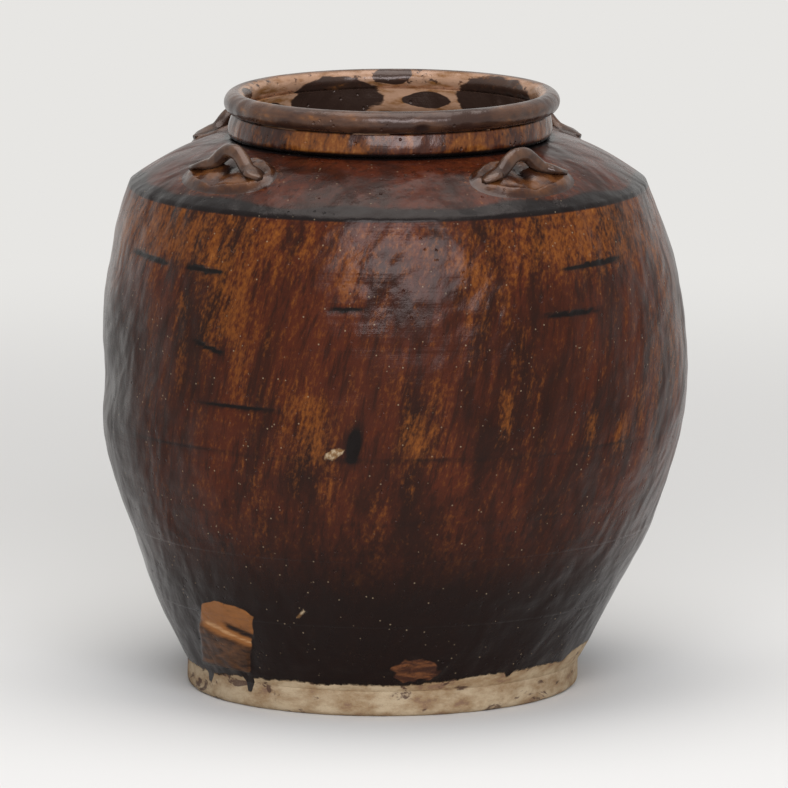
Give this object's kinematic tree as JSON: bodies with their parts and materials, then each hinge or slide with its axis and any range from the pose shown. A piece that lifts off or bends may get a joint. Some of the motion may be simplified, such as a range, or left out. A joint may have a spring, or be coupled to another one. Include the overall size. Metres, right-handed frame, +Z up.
{
  "type": "martaban jar",
  "caption": "Wide-bellied glazed stoneware storage jar with a bare clay foot, a ridged cone shoulder, a short neck with a rolled rim, and looped lugs for cords.",
  "frame": {"origin": "on the floor, at the middle of the foot ring's underside", "axes": "+Z up along the jar's axis; -Y is the front, midway between the two lugs that the picture shows; +X to the right"},
  "size_m": [0.55, 0.55, 0.5616],
  "materials": {
    "bare_clay": "matt unglazed stoneware, sandy buff",
    "foot_clay": "matt unglazed stoneware with kiln stains and glaze drips at its top",
    "dark_glaze": "glossy, nearly black iron glaze",
    "brown_glaze": "glossy rust-brown iron glaze with amber runs",
    "shoulder_glaze": "glossy dark brown iron glaze, black along the ridge",
    "neck_glaze": "glossy mottled amber and brown iron glaze, bare pinkish buff clay inside",
    "worn_glaze": "satin worn brown glaze, thin on the crown, with dark chips",
    "pad_glaze": "glossy, amber on the raised edges and black in the thumb hollows",
    "lug_glaze": "glossy brown glaze worn thin on the crown of the coil"
  },
  "bodies": {
    "root": {"base_disc": "bare_clay", "foot_ring": "foot_clay", "wall_course_1": "dark_glaze", "wall_course_2": "dark_glaze", "wall_course_3": "dark_glaze", "wall_course_4": "brown_glaze", "wall_course_5": "brown_glaze", "wall_course_6": "brown_glaze", "wall_course_7": "brown_glaze", "shoulder": "shoulder_glaze", "neck_collar": "neck_glaze", "rim_roll": "worn_glaze", "lug_pad_front_left": "pad_glaze", "lug_pad_front_right": "pad_glaze", "lug_pad_back_right": "pad_glaze", "lug_pad_back_left": "pad_glaze", "lug_loop_front_left": "lug_glaze", "lug_loop_front_right": "lug_glaze", "lug_loop_back_right": "lug_glaze", "lug_loop_back_left": "lug_glaze"}
  },
  "joints": []
}
